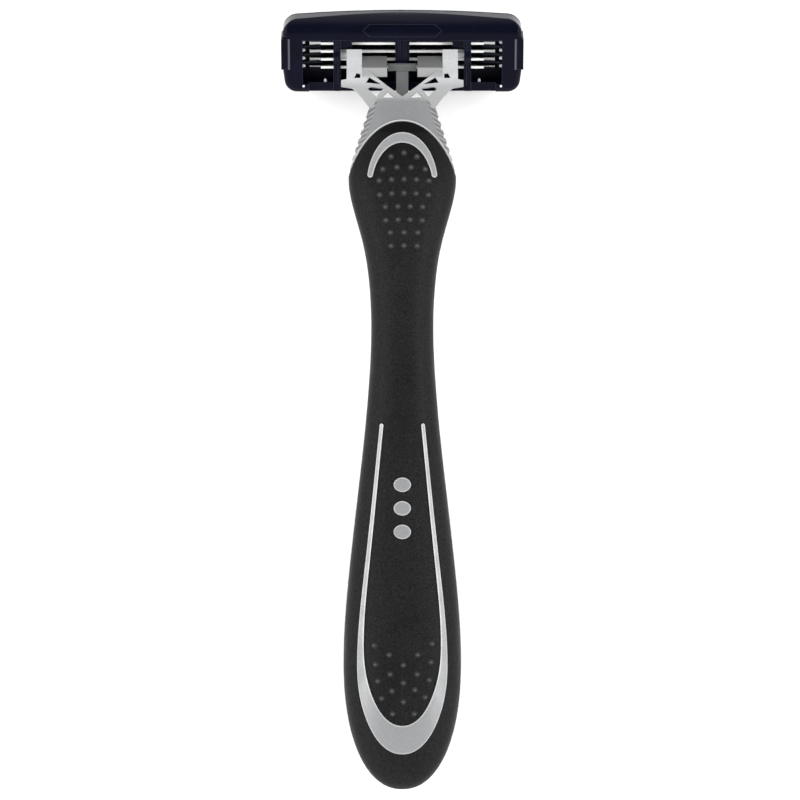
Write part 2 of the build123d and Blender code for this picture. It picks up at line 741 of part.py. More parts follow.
def blade(number):
    """A thin ground strip with its edge on the guard's side."""
    points = [
        on_blade(number, 0, 0.02),
        on_blade(number, BEVEL_LENGTH, 0),
        on_blade(number, BLADE_REACH, 0),
        on_blade(number, BLADE_REACH, BLADE_THICKNESS),
        on_blade(number, BEVEL_LENGTH, BLADE_THICKNESS),
        on_blade(number, 0, 0.035),
    ]
    return profile(points, -BLADE_HALF_LENGTH, BLADE_HALF_LENGTH)


def blade_support(number):
    """A bent strip: a sloping platform under the blade and a straight leg behind it."""
    half_leg = LEG_THICKNESS / 2
    v = blade_v(number)
    under = BLADE_THICKNESS + PLATFORM_THICKNESS
    platform = [
        on_blade(number, 0.2, BLADE_THICKNESS),
        on_blade(number, BLADE_REACH, BLADE_THICKNESS),
        on_blade(number, BLADE_REACH, under),
        on_blade(number, 0.32, under),
    ]
    leg_front = on_blade(number, 0.38, BLADE_THICKNESS + PLATFORM_THICKNESS / 2)[1]
    with BuildPart() as support:
        add(profile(platform, -PLATFORM_HALF_LENGTH, PLATFORM_HALF_LENGTH))
        add(block(-LEG_HALF_LENGTH, LEG_HALF_LENGTH, v - half_leg, v + half_leg, leg_front, LEG_BACK))
    return support.part


def spring_fingers(number):
    """The pair of springy fingers that push one blade's platform forward from its ends."""
    middle = blade_v(number) + FINGER_OFFSET
    with BuildPart() as fingers:
        with BuildSketch(ACROSS.offset(middle)):
            with BuildLine():
                front = Spline(
                    (WINDOW_HALF_WIDTH, 2.2),
                    (16.0, 2.7),
                    (FINGER_TIP_X, -FINGER_FRONT),
                    tangents=((-1, 0.2), (-1, 0.02)),
                )
                back = Spline(
                    (WINDOW_HALF_WIDTH, 1.6),
                    (16.0, 2.25),
                    (FINGER_TIP_X, -FINGER_FRONT - 0.25),
                    tangents=((-1, 0.2), (-1, 0.02)),
                )
                Line(front @ 0, back @ 0)
                Line(front @ 1, back @ 1)
            make_face()
            mirror(about=Plane.YZ)
        extrude(amount=FINGER_WIDTH / 2, both=True)
    return fingers.part


for piece in (head_yoke, return_tongue, handle_core, neck_collar, rubber_grip):
    export_step(piece.part, f"parts/{piece.part.label}.step")
for piece in (upper_trim, lower_trim, emblem_inlay):
    export_step(piece.part, f"parts/{piece.part.label}.step")
for piece in (cartridge_frame, face_cover, lubricating_strip, guard_strip):
    export_step(piece.part, f"parts/{piece.part.label}.step")
export_step(end_clip_left, "parts/end_clip_left.step")
export_step(end_clip_right, "parts/end_clip_right.step")
for number in range(BLADE_COUNT):
    for name, piece in (
        ("blade", blade(number)),
        ("blade_support", blade_support(number)),
        ("spring_fingers", spring_fingers(number)),
    ):
        piece.label = f"{name}_{number + 1}"
        export_step(piece, f"parts/{name}_{number + 1}.step")
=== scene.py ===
import json
from math import cos, pi, radians, sin, sqrt

import bmesh
import bpy
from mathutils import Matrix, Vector
from mathutils.bvhtree import BVHTree


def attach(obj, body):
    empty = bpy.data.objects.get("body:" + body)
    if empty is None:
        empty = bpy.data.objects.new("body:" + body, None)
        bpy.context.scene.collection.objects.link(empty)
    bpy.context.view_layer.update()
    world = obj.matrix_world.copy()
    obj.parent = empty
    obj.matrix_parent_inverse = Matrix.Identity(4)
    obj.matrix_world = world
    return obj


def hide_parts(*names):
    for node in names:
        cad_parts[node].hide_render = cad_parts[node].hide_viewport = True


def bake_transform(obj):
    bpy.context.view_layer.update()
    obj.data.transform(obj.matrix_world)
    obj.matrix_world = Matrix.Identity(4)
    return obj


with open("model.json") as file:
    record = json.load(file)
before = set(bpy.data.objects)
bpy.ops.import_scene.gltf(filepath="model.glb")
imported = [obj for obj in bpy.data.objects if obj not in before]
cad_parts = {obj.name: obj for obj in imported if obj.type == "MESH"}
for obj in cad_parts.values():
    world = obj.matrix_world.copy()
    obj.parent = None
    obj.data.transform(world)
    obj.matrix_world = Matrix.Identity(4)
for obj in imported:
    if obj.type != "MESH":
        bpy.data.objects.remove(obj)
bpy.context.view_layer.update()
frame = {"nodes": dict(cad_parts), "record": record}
nodes = frame["nodes"]

# A place or size times MM is in metres. A bare one is in millimetres, as on_cartridge takes it.
MM = 0.001

# The razor lies blades down on the floor, its head towards +Y, and is seen from straight above.
PICTURE_WIDTH = 139.6 * MM
PICTURE_HEIGHT_Z = 9 * MM
LENS = 200
CAMERA_X = -0.4 * MM
SENSOR = 36

# The cartridge leans by this much, so that its guard's edge is on the floor.
TILT = radians(22)
JOINTS = {joint["name"]: joint for joint in frame["record"]["behaviour"]["joints"]}
PIVOT = Vector(JOINTS["head_pivot"]["pos_m"])
ORIGIN = Vector((0, 0, 0))
SIDEWAYS = Vector((1, 0, 0))
FORWARDS = Vector((0, 1, 0))
UP_CARTRIDGE = Vector((0, cos(TILT), sin(TILT)))
OUT_OF_BACK = Vector((0, -sin(TILT), cos(TILT)))


def on_cartridge(x, v, w):
    """A point given in millimetres across, up and out of the back of the cartridge."""
    return PIVOT + MM * (x * SIDEWAYS + v * UP_CARTRIDGE + w * OUT_OF_BACK)


# ---------------------------------------------------------------- node trees
class Shader:
    """A material with one Principled shader, and short calls for the nodes that feed it."""

    def __init__(self, name, **values):
        self.material = bpy.data.materials.new(name)
        self.material.use_nodes = True
        self.tree = self.material.node_tree
        self.main = self.tree.nodes["Principled BSDF"]
        for socket, value in values.items():
            self.main.inputs[socket.replace("_", " ")].default_value = value
        self.place = self.node("ShaderNodeTexCoord").outputs["Object"]

    def node(self, kind, inputs=None, **settings):
        """Adds a node; inputs that are sockets are linked, and the others are set."""
        made = self.tree.nodes.new(kind)
        for key, value in settings.items():
            setattr(made, key, value)
        for key, value in (inputs or {}).items():
            if isinstance(value, bpy.types.NodeSocket):
                self.tree.links.new(value, made.inputs[key])
            else:
                made.inputs[key].default_value = value
        return made

    def noise(self, size, detail=3, roughness=0.5, stretch=(1, 1, 1)):
        """Soft noise, 0 to 1, with lumps of about size metres."""
        mapping = self.node("ShaderNodeMapping", {"Vector": self.place, "Scale": stretch})
        return self.node(
            "ShaderNodeTexNoise",
            {"Vector": mapping.outputs[0], "Scale": 1 / size, "Detail": detail, "Roughness": roughness},
        ).outputs["Fac"]

    def ramp(self, factor, low, high, start=0.0, end=1.0):
        """Maps a factor's range start..end onto low..high."""
        return self.node(
            "ShaderNodeMapRange",
            {"Value": factor, "From Min": start, "From Max": end, "To Min": low, "To Max": high},
        ).outputs[0]

    def math(self, operation, first, second=0.0):
        """One arithmetic node."""
        return self.node("ShaderNodeMath", {0: first, 1: second}, operation=operation).outputs[0]

    def mix(self, factor, first, second):
        """A colour between two colours, which are the mix node's sockets 6 and 7."""
        return self.node(
            "ShaderNodeMix", {0: factor, 6: first, 7: second}, data_type="RGBA"
        ).outputs[2]

    def edges(self, width):
        """A mask, 0 to 1, along edges within about width metres of them."""
        rounded = self.node("ShaderNodeBevel", {"Radius": width}, samples=4).outputs[0]
        plain = self.node("ShaderNodeNewGeometry").outputs["Normal"]
        dot = self.node("ShaderNodeVectorMath", {0: rounded, 1: plain}, operation="DOT_PRODUCT")
        return self.ramp(dot.outputs["Value"], 1.0, 0.0, 0.88, 0.998)

    def bump(self, height, distance, strength=1.0, below=None):
        """A bump whose height runs over distance metres, on top of another normal."""
        inputs = {"Height": height, "Distance": distance, "Strength": strength}
        if below is not None:
            inputs["Normal"] = below
        return self.node("ShaderNodeBump", inputs).outputs[0]

    def rounding(self, width):
        """A normal that rounds edges off by width metres."""
        return self.node("ShaderNodeBevel", {"Radius": width}, samples=6).outputs[0]

    def along(self, direction, origin, low, high, start, end):
        """Maps start..end, in metres along a direction from a point of the object, onto low..high."""
        place = self.node("ShaderNodeVectorMath", {0: self.place, 1: direction}, operation="DOT_PRODUCT")
        zero = origin.dot(direction)
        return self.ramp(place.outputs["Value"], low, high, zero + start, zero + end)

    def facing(self, direction, start, end):
        """A mask, 0 to 1, as the cosine between a face's normal and a direction rises."""
        normal = self.node("ShaderNodeTexCoord").outputs["Normal"]
        dot = self.node("ShaderNodeVectorMath", {0: normal, 1: direction}, operation="DOT_PRODUCT")
        return self.ramp(dot.outputs["Value"], 0, 1, start, end)

    def between(self, direction, origin, start, end, soft):
        """A mask that is 1 from start to end along a direction from a point, with soft ends."""
        rise = self.along(direction, origin, 0, 1, start - soft, start)
        fall = self.along(direction, origin, 1, 0, end, end + soft)
        return self.math("MULTIPLY", rise, fall)

    def wire(self, socket, value):
        """Links a value to a socket of the Principled shader."""
        self.tree.links.new(value, self.main.inputs[socket])


def grey(level, warm=0.0):
    """A grey of one level; warm moves it towards red."""
    return (level * (1 + warm), level, level * (1 - warm), 1)


def silver_paint(name, level, edge, roughness=0.45, metallic=0.15, rim=0.14):
    """Satin silver plastic: fine flakes, faint moulding clouds, and a painted edge highlight of another
    level.
    """
    s = Shader(name, Metallic=metallic, Specular_IOR_Level=0.35)
    flakes = s.noise(0.07 * MM, 2)
    clouds = s.noise(3 * MM, 3)
    specks = s.noise(0.35 * MM, 4, 0.7)
    grain = s.noise(0.2 * MM, 3, 0.6)
    base = s.mix(s.ramp(flakes, 0, 1, 0.3, 0.7), grey(level * 0.93, -0.02), grey(level * 1.08, -0.02))
    base = s.mix(s.ramp(grain, 0, 0.6, 0.35, 0.65), base, grey(level * 0.68, -0.02))
    base = s.mix(s.ramp(clouds, 0, 0.12, 0.4, 0.75), base, grey(level * 0.6))
    base = s.mix(s.ramp(specks, 0, 0.5, 0.68, 0.8), base, grey(level * 0.7))
    # The edge level is a painted highlight along the edges.
    base = s.mix(s.math("MULTIPLY", s.edges(rim * MM), 0.8), base, grey(edge))
    s.wire("Roughness", s.ramp(clouds, roughness - 0.06, roughness + 0.08, 0.3, 0.7))
    s.wire("Normal", s.bump(flakes, 0.003 * MM, 0.5, s.rounding(0.12 * MM)))
    return s, base


# The collar's flank slopes out from this corner, and its ribs start a little inside its edge.
FLANK_CORNER = (6.25, 49.5)
FLANK_SLOPE = 0.327
FLANK_INSET = 1.3
FLANK_START = (FLANK_CORNER[0] + FLANK_CORNER[1] * FLANK_SLOPE - FLANK_INSET) * MM
RIB_SLANT = 0.6
RIB_PITCH = 0.75 * MM


def collar_paint():
    """The collar has fine slanting ribs moulded on its flanks, painted dark in their grooves as shade and
    light on their crests as a highlight.
    """
    s, base = silver_paint("collar_silver", 0.16, 0.36, 0.5)
    parts = s.node("ShaderNodeSeparateXYZ", {0: s.place}).outputs
    across = s.math("ABSOLUTE", parts["X"])
    slant = s.math("ADD", parts["Y"], s.math("MULTIPLY", across, RIB_SLANT))
    wave = s.ramp(s.math("PINGPONG", slant, RIB_PITCH / 2), 0, 1, 0.1 * MM, RIB_PITCH / 2 - 0.1 * MM)
    flank = s.math("ADD", across, s.math("MULTIPLY", parts["Y"], FLANK_SLOPE))
    flank = s.ramp(flank, 0, 1, FLANK_START, FLANK_START + 0.35 * MM)
    ribs = s.math("MULTIPLY", wave, flank)
    # Painted shade in the ribs' grooves, then a painted highlight on their crests.
    base = s.mix(s.math("MULTIPLY", ribs, 0.5), base, grey(0.06))
    base = s.mix(s.math("MULTIPLY", flank, s.ramp(wave, 0.4, 0, 0, 0.5)), base, grey(0.3))
    s.wire("Base Color", base)
    s.wire("Normal", s.bump(s.math("SUBTRACT", 1.0, ribs), 0.1 * MM, 0.8, s.rounding(0.12 * MM)))
    return s.material


def plain_silver(*values, **more):
    """Silver paint with nothing added."""
    s, base = silver_paint(*values, **more)
    s.wire("Base Color", base)
    return s.material


# Where the yoke brightens away from the collar, and where its shields start and slope; painted shade lies
# down the slope.
YOKE_BRIGHTENS = (54.6 * MM, 56.2 * MM)
SHIELD_START = (56 * MM, 56.5 * MM)
SHIELD_SLOPE = (58.05 * MM, 60.4 * MM)
SHIELD_HALF_WIDTH = 7.0 * MM


def yoke_paint():
    """The yoke is bright on its arms, duller by the collar and on its shields, and has painted
    shade down the shields' slopes."""
    s, base = silver_paint("yoke_silver", 0.4, 0.6, 0.4)
    base = s.mix(s.along(FORWARDS, ORIGIN, 0.7, 0, *YOKE_BRIGHTENS), base, grey(0.2))
    slope = s.between(FORWARDS, ORIGIN, *SHIELD_SLOPE, 0.15 * MM)
    middle = s.between(SIDEWAYS, ORIGIN, -SHIELD_HALF_WIDTH, SHIELD_HALF_WIDTH, 0.1 * MM)
    shield = s.math("MULTIPLY", middle, s.along(FORWARDS, ORIGIN, 0, 0.75, *SHIELD_START))
    base = s.mix(shield, base, grey(0.2))
    # Painted shade down the shields' slopes.
    base = s.mix(s.math("MULTIPLY", s.math("MULTIPLY", slope, middle), 0.75), base, grey(0.06))
    s.wire("Base Color", base)
    return s.material


def soft_rubber(name, level, roughness=0.55, ior=1.2):
    """Soft overmoulded rubber: matte, finely pebbled, greyer in dusty patches, and painted lighter along
    its edges as a highlight.
    """
    s = Shader(name, IOR=ior)
    grain = s.noise(0.12 * MM, 3, 0.6)
    dust = s.noise(0.5 * MM, 4, 0.65)
    clouds = s.noise(9 * MM, 3)
    pebbles = s.noise(0.24 * MM, 3, 0.65)
    base = s.mix(s.ramp(clouds, 0, 1, 0.35, 0.7), grey(level * 0.86), grey(level * 1.15))
    base = s.mix(s.ramp(pebbles, 0, 1, 0.38, 0.62), grey(level * 0.22), base)
    base = s.mix(s.ramp(dust, 0.0, 0.5, 0.55, 0.8), base, grey(level * 2.2, 0.01))
    # A faint painted highlight along the edges.
    base = s.mix(s.math("MULTIPLY", s.edges(0.2 * MM), 0.2), base, grey(level * 2, 0.01))
    s.wire("Roughness", s.ramp(clouds, roughness - 0.05, roughness + 0.09, 0.3, 0.7))
    s.wire("Normal", s.bump(grain, 0.012 * MM, 0.6, s.bump(pebbles, 0.03 * MM, 0.6)))
    return s, base


# Where along the grip the painted shade deepens towards the collar, and where the mould seam is.
GRIP_PAINTED_SHADE = (37 * MM, 42 * MM)
GRIP_PAINTED_SHADE_DEEPEST = (46.0 * MM, 46.7 * MM)
SEAM_ALONG = (-57 * MM, -45 * MM)
SEAM_HALF_WIDTH = 0.05 * MM


def grip_rubber():
    """The grip has painted shade, darkest by the collar, and a faint mould seam down the middle of its
    butt.
    """
    s, base = soft_rubber("grip_rubber", 0.0115, 0.45, 1.17)
    # Painted shade, deepening towards the collar.
    base = s.mix(s.along(FORWARDS, ORIGIN, 0, 0.55, *GRIP_PAINTED_SHADE), base, grey(0.001))
    base = s.mix(s.along(FORWARDS, ORIGIN, 0, 0.9, *GRIP_PAINTED_SHADE_DEEPEST), base, grey(0.0005))
    seam = s.between(SIDEWAYS, ORIGIN, -SEAM_HALF_WIDTH, SEAM_HALF_WIDTH, 0.08 * MM)
    seam = s.math("MULTIPLY", seam, s.between(FORWARDS, ORIGIN, *SEAM_ALONG, 1.5 * MM))
    base = s.mix(s.math("MULTIPLY", seam, 0.5), base, grey(0.014))
    s.wire("Base Color", base)
    return s.material


def plain_rubber(name, level, roughness, ior):
    """Soft rubber with nothing added."""
    s, base = soft_rubber(name, level, roughness, ior)
    s.wire("Base Color", base)
    return s.material


def dot_paint():
    """The grip dots have a painted shadow round their feet and a painted highlight on their crowns."""
    s, base = soft_rubber("dot_rubber", 0.008, 0.25, 1.35)
    crown = s.node("ShaderNodeAttribute", attribute_name="crown").outputs["Fac"]
    # Painted shadow round each dot's foot, and a painted highlight on its crown.
    base = s.mix(s.ramp(crown, 0.95, 0, 0.1, 0.55), base, grey(0.0006))
    base = s.mix(s.ramp(crown, 0, 0.85, 0.62, 0.92), base, grey(0.055, 0.01))
    s.wire("Base Color", base)
    s.wire("Roughness", s.ramp(crown, 0.6, 0.22, 0.3, 0.8))
    return s.material


def gloss(name, colour, roughness, bright):
    """Polished dark plastic: flow marks, fine scuffs and a painted highlight of another colour on its
    edges.
    """
    s = Shader(name, IOR=1.17)
    flow = s.noise(3.5 * MM, 3, 0.5, (0.4, 1, 1))
    scuffs = s.noise(0.35 * MM, 4, 0.7, (1, 0.25, 1))
    base = s.mix(s.ramp(flow, 0, 1, 0.35, 0.7), colour, tuple(1.6 * c for c in colour[:3]) + (1,))
    base = s.mix(s.ramp(scuffs, 0, 0.5, 0.6, 0.78), base, tuple(3 * c for c in colour[:3]) + (1,))
    # The bright colour is a painted highlight along the edges.
    base = s.mix(s.math("MULTIPLY", s.edges(0.13 * MM), 0.6), base, bright)
    s.wire("Roughness", s.ramp(scuffs, roughness - 0.05, roughness + 0.14, 0.4, 0.8))
    s.wire("Normal", s.bump(flow, 0.02 * MM, 0.25, s.rounding(0.2 * MM)))
    return s, base


def gloss_plastic(name, colour, roughness=0.14, bright=(0.045, 0.054, 0.09, 1)):
    """Polished plastic with nothing added."""
    s, base = gloss(name, colour, roughness, bright)
    s.wire("Base Color", base)
    return s.material


# The rib on the back of each clip, across the razor, and where out of the back its painted highlight fades
# in.
CLIP_RIB = (19.72 * MM, 19.92 * MM)
CLIP_HIGHLIGHT_DEPTH = (1.0 * MM, 1.3 * MM)


def clip_paint():
    """The clips have a painted highlight along the ribs on their backs."""
    s, base = gloss("clip_plastic", NEAR_BLACK, 0.12, (0.03, 0.033, 0.045, 1))
    left = s.between(SIDEWAYS, ORIGIN, -CLIP_RIB[1], -CLIP_RIB[0], 0.12 * MM)
    right = s.between(SIDEWAYS, ORIGIN, *CLIP_RIB, 0.12 * MM)
    behind = s.along(OUT_OF_BACK, PIVOT, 0, 1, *CLIP_HIGHLIGHT_DEPTH)
    rib = s.math("MULTIPLY", s.math("ADD", left, right), behind)
    # A painted highlight along each clip's rib.
    s.wire("Base Color", s.mix(s.math("MULTIPLY", rib, 0.9), base, (0.07, 0.073, 0.09, 1)))
    return s.material


def steel_strip(name, level, along=0.02):
    """Ground steel: fine marks along its length, slightly darker in blotches."""
    s = Shader(name, Metallic=1.0)
    marks = s.noise(0.05 * MM, 4, 0.6, (along, 1, 1))
    blotches = s.noise(2.5 * MM, 3)
    base = s.mix(s.ramp(marks, 0, 1, 0.3, 0.7), grey(level * 0.9), grey(min(level * 1.1, 0.97)))
    base = s.mix(s.ramp(blotches, 0, 0.2, 0.5, 0.8), base, grey(level * 0.7, 0.03))
    s.wire("Roughness", s.ramp(marks, 0.2, 0.4, 0.3, 0.7))
    s.wire("Normal", s.bump(marks, 0.004 * MM, 0.4))
    return s, base


def blade_steel():
    """The blades are ground bright in front, and painted dark behind as shade."""
    s, base = steel_strip("blade_steel", 0.78)
    # Faces that look out of the back are painted dark and made less metallic, as shade.
    behind = s.facing(OUT_OF_BACK, 0.1, 0.3)
    s.wire("Base Color", s.mix(behind, base, grey(0.03)))
    s.wire("Metallic", s.ramp(behind, 1, 0.3))
    return s.material


# Out of the back, where the painted shade between the supports fades out towards their crests.
SUPPORT_CREST = (-2.15 * MM, -1.8 * MM)


def support_steel():
    """The blade supports are bright along their crests, with painted shade down between them."""
    s, base = steel_strip("support_steel", 0.9, 0.05)
    painted_shade_depth = s.along(OUT_OF_BACK, PIVOT, 1, 0, *SUPPORT_CREST)
    s.wire("Base Color", s.mix(painted_shade_depth, base, grey(0.02)))
    s.wire("Metallic", s.ramp(painted_shade_depth, 0.35, 0.9))
    return s.material


def strip_gel(name):
    """Waxy lubricating strip: pale, slightly see-through, with fine pores and rubbed streaks."""
    s = Shader(name, Subsurface_Weight=0.25, Subsurface_Scale=0.4 * MM, Specular_IOR_Level=0.4)
    streaks = s.noise(0.4 * MM, 3, 0.6, (0.06, 1, 1))
    pores = s.noise(0.08 * MM, 3, 0.6)
    base = s.mix(s.ramp(streaks, 0, 1, 0.35, 0.65), (0.24, 0.38, 0.42, 1), (0.36, 0.48, 0.5, 1))
    s.wire("Base Color", base)
    s.wire("Roughness", s.ramp(pores, 0.45, 0.65, 0.3, 0.7))
    s.wire("Normal", s.bump(pores, 0.01 * MM, 0.5, s.bump(streaks, 0.02 * MM, 0.3)))
    return s.material


# ---------------------------------------------------------------- finishes of the CAD nodes
NAVY = (0.001, 0.0012, 0.0052, 1)
NEAR_BLACK = (0.001, 0.0012, 0.0042, 1)
# The second level given to each silver is its painted edge highlight.
collar_silver = collar_paint()
yoke_silver = yoke_paint()
trim_silver = plain_silver("trim_silver", 0.215, 0.5, 0.34, rim=0.42)
tongue_silver = plain_silver("tongue_silver", 0.1, 0.22)
core_plastic = plain_silver("core_plastic", 0.1, 0.16, 0.6, 0.0)
rubber = grip_rubber()
# The lip is painted much lighter than the collar, as a highlight along the rubber's edge.
lip_highlight_silver = plain_silver("lip_highlight_silver", 0.42, 0.5, 0.3)
dot_rubber = dot_paint()
guard_rubber = plain_rubber("guard_rubber", 0.012, 0.5, 1.3)
navy_plastic = gloss_plastic("navy_plastic", NAVY)
cover_plastic = gloss_plastic("cover_plastic", NEAR_BLACK, 0.5)
clip_plastic = clip_paint()
# The studs are painted light grey, as glints on the dark frame.
stud_glint_plastic = gloss_plastic("stud_glint_plastic", (0.4, 0.41, 0.44, 1), 0.1, (0.5, 0.51, 0.54, 1))
finger_plastic = gloss_plastic("finger_plastic", (0.006, 0.0065, 0.011, 1), 0.3)
steel = blade_steel()
supports = support_steel()
gel = strip_gel("strip_gel")

FINISHES = {
    collar_silver: ["neck_collar"],
    yoke_silver: ["head_yoke"],
    trim_silver: ["upper_trim", "lower_trim", "emblem_inlay"],
    tongue_silver: ["return_tongue"],
    core_plastic: ["handle_core"],
    rubber: ["rubber_grip"],
    guard_rubber: ["guard_strip"],
    navy_plastic: ["cartridge_frame"],
    cover_plastic: ["face_cover"],
    clip_plastic: ["end_clip_left", "end_clip_right"],
    finger_plastic: [f"spring_fingers_{number}" for number in range(1, 5)],
    steel: [f"blade_{number}" for number in range(1, 5)],
    supports: [f"blade_support_{number}" for number in range(1, 5)],
    gel: ["lubricating_strip"],
}
for material, names in FINISHES.items():
    for name in names:
        for slot in nodes[name].material_slots:
            slot.material = material


# ---------------------------------------------------------------- pieces
def mesh_object(name, mesh_maker, material):
    """A smooth mesh object built by mesh_maker(bm)."""
    bm = bmesh.new()
    mesh_maker(bm)
    bmesh.ops.recalc_face_normals(bm, faces=bm.faces)
    mesh = bpy.data.meshes.new(name)
    bm.to_mesh(mesh)
    bm.free()
    mesh.polygons.foreach_set("use_smooth", [True] * len(mesh.polygons))
    obj = bpy.data.objects.new(name, mesh)
    bpy.context.collection.objects.link(obj)
    mesh.materials.append(material)
    return obj


def piece(name, mesh_maker, material, body):
    """A smooth mesh piece that rides on a CAD body."""
    obj = mesh_object(name, mesh_maker, material)
    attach(obj, body)


# Rays that look for a surface start this high, and what stands on one is sunk this far in.
ABOVE_ALL = 100 * MM
SINK = 0.05 * MM


def surface_of(name):
    """The surface of a CAD node, to stand details on."""
    mesh = nodes[name].data
    return BVHTree.FromPolygons([v.co for v in mesh.vertices], [p.vertices for p in mesh.polygons])


def top_of(surface, x, y):
    """The highest point of a surface at x, y in millimetres, and its normal there, or None twice."""
    return surface.ray_cast(Vector((x * MM, y * MM, ABOVE_ALL)), Vector((0, 0, -1)))[:2]


def bridge(bm, low, high):
    """Joins two loops of as many points by a band of quads."""
    for step in range(len(low)):
        after = (step + 1) % len(low)
        bm.faces.new((low[step], low[after], high[after], high[step]))


def cap(bm, loop, tip):
    """Closes a loop with triangles that meet at a tip."""
    for step in range(len(loop)):
        bm.faces.new((loop[step], loop[(step + 1) % len(loop)], tip))


grip = surface_of("rubber_grip")
DOT_RADIUS = 0.45 * MM
DOT_HEIGHT = 0.36 * MM
# How far past its radius a dot's skirt spreads, to carry the painted shadow round its foot.
DOT_FOOT = 1.35
DOT_TAPER = 1.15
DOT_STEEPNESS = 1.7
DOT_RINGS = 7
DOT_SIDES = 20


def add_dot(bm, x, y):
    """A low dome that stands on the grip, with a small fillet round its foot."""
    crown = bm.verts.layers.float.get("crown") or bm.verts.layers.float.new("crown")
    centre, up = top_of(grip, x, y)
    side = up.orthogonal().normalized()
    other = up.cross(side)
    rings = []
    for ring in range(DOT_RINGS + 1):
        share = ring / DOT_RINGS
        radius = DOT_RADIUS * DOT_FOOT * (1 - share**DOT_TAPER)
        height = DOT_HEIGHT * sin(share * pi / 2) ** DOT_STEEPNESS if ring else -SINK
        loop = []
        for step in range(DOT_SIDES if ring < DOT_RINGS else 1):
            angle = 2 * pi * step / DOT_SIDES
            flat = centre + radius * (cos(angle) * side + sin(angle) * other)
            point = bm.verts.new(flat + up * height)
            point[crown] = share
            loop.append(point)
        rings.append(loop)
    for low, high in zip(rings[:-1], rings[1:-1]):
        bridge(bm, low, high)
    cap(bm, rings[-2], rings[-1][0])


# Rows of grip dots under the crescent, in millimetres, and how far they all stand to one side and
# down. A row is its middle's place along the grip, its number of dots, their spacing, and its fall
# to the sides.
UPPER_SHIFT = (0.3, -0.4)
UPPER_ROWS = [
    (43.2, 1, 0.0, 0.0),
    (42.6, 2, 4.5, 0.3),
    (40.7, 4, 2.45, 0.16),
    (38.6, 5, 2.15, 0.06),
    (36.2, 5, 2.1, 0.08),
    (33.9, 4, 2.15, 0.05),
    (31.6, 4, 2.1, 0.05),
    (29.4, 3, 2.35, 0.03),
    (27.1, 3, 2.25, 0.03),
]


def upper_dots(bm):
    """The dots under the crescent."""
    for y, count, spacing, fall in UPPER_ROWS:
        for step in range(count):
            across = step - (count - 1) / 2
            along = y + UPPER_SHIFT[1] - fall * across * across
            add_dot(bm, across * spacing + UPPER_SHIFT[0], along)


# Chevrons of grip dots inside the loop, in millimetres, and how far they all stand to one side.
# A row is its place along the grip, its dots' places across, and how far each stands up from it.
LOWER_SHIFT = 0.2
LOWER_ROWS = [
    (-46.1, (-5.1, -2.5, 0.0, 2.5, 5.0), (3.4, 1.8, 0.0, 1.8, 3.7)),
    (-49.2, (-4.9, -2.3, 0.0, 2.4, 4.8), (3.2, 1.5, 0.0, 1.5, 3.6)),
    (-52.5, (-4.5, -2.0, 0.0, 2.0, 4.5), (3.6, 1.9, 0.0, 2.1, 3.8)),
    (-55.0, (-3.8, -1.9, 1.9, 3.8), (3.1, 0.4, 0.4, 3.3)),
]


def lower_dots(bm):
    """The dots inside the loop."""
    for y, places, rises in LOWER_ROWS:
        for x, rise in zip(places, rises):
            add_dot(bm, x + LOWER_SHIFT, y + rise)


piece("grip_dots_upper", upper_dots, dot_rubber, "handle")
piece("grip_dots_lower", lower_dots, dot_rubber, "handle")


# A raised lip on the collar, all along the edge of the rubber.
ARCH_TOP_Y = 48.3
ARCH_HALF_WIDTH = 11.0
ARCH_HEIGHT = 19.95
LIP_RADIUS = 0.13 * MM
LIP_OUTSET = 0.2
LIP_REACH = 58
LIP_STEPS = 90
LIP_SIDES = 10
LIP_LOWEST = 9.5 * MM
TUBE_END_STEPS = 4
TUBE_END_RADIUS = 0.001 * MM


def add_tube(bm, points, radius, sides):
    """A closed round tube through points, with rounded ends."""
    loops = []
    for index, point in enumerate(points):
        before = points[max(index - 1, 0)]
        after = points[min(index + 1, len(points) - 1)]
        ahead = (after - before).normalized()
        side = ahead.cross(Vector((0, 0, 1))).normalized()
        up = side.cross(ahead)
        end = min(index, len(points) - 1 - index, TUBE_END_STEPS)
        size = radius * sqrt(1 - (1 - end / TUBE_END_STEPS) ** 2) + TUBE_END_RADIUS
        loop = []
        for step in range(sides):
            angle = 2 * pi * step / sides
            loop.append(bm.verts.new(point + size * (cos(angle) * side + sin(angle) * up)))
        loops.append(loop)
    for low, high in zip(loops, loops[1:]):
        bridge(bm, low, high)
    bm.faces.new(loops[0])
    bm.faces.new(loops[-1])


collar = surface_of("neck_collar")


def collar_lip(bm):
    """A tube that follows the collar's surface round the arch of the rubber."""
    points = []
    for step in range(LIP_STEPS + 1):
        angle = radians(90 + LIP_REACH * (2 * step / LIP_STEPS - 1))
        x = (ARCH_HALF_WIDTH + LIP_OUTSET) * cos(angle)
        y = ARCH_TOP_Y - ARCH_HEIGHT + (ARCH_HEIGHT + LIP_OUTSET) * sin(angle)
        hit, _ = top_of(collar, x, y)
        if hit is not None and hit.z > LIP_LOWEST:
            points.append(hit)
    add_tube(bm, points, LIP_RADIUS, LIP_SIDES)


piece("collar_lip", collar_lip, lip_highlight_silver, "handle")


# Springy fingers that reach from the ends of the window to the blades.
# Each has its place across, its place out of the back and half its thickness, in millimetres, at
# its root, its middle and its tip.
FIRST_BLADE_V = 1.55
BLADE_PITCH = 1.45
FINGER_OFFSET = 0.72
FINGER_ROOT = (17.45, -1.9, 0.3)
FINGER_MIDDLE = (15.6, -2.53, 0.21)
FINGER_TIP = (13.7, -2.715, 0.125)
FINGER_HALF_WIDTH = 0.25
FINGER_STEPS = 22
FINGER_SIDES = 12


def through(first, middle, last, share):
    """A smooth curve through three values, the middle one at the middle."""
    return (
        first * (1 - share) * (1 - 2 * share)
        + middle * 4 * share * (1 - share)
        + last * share * (2 * share - 1)
    )


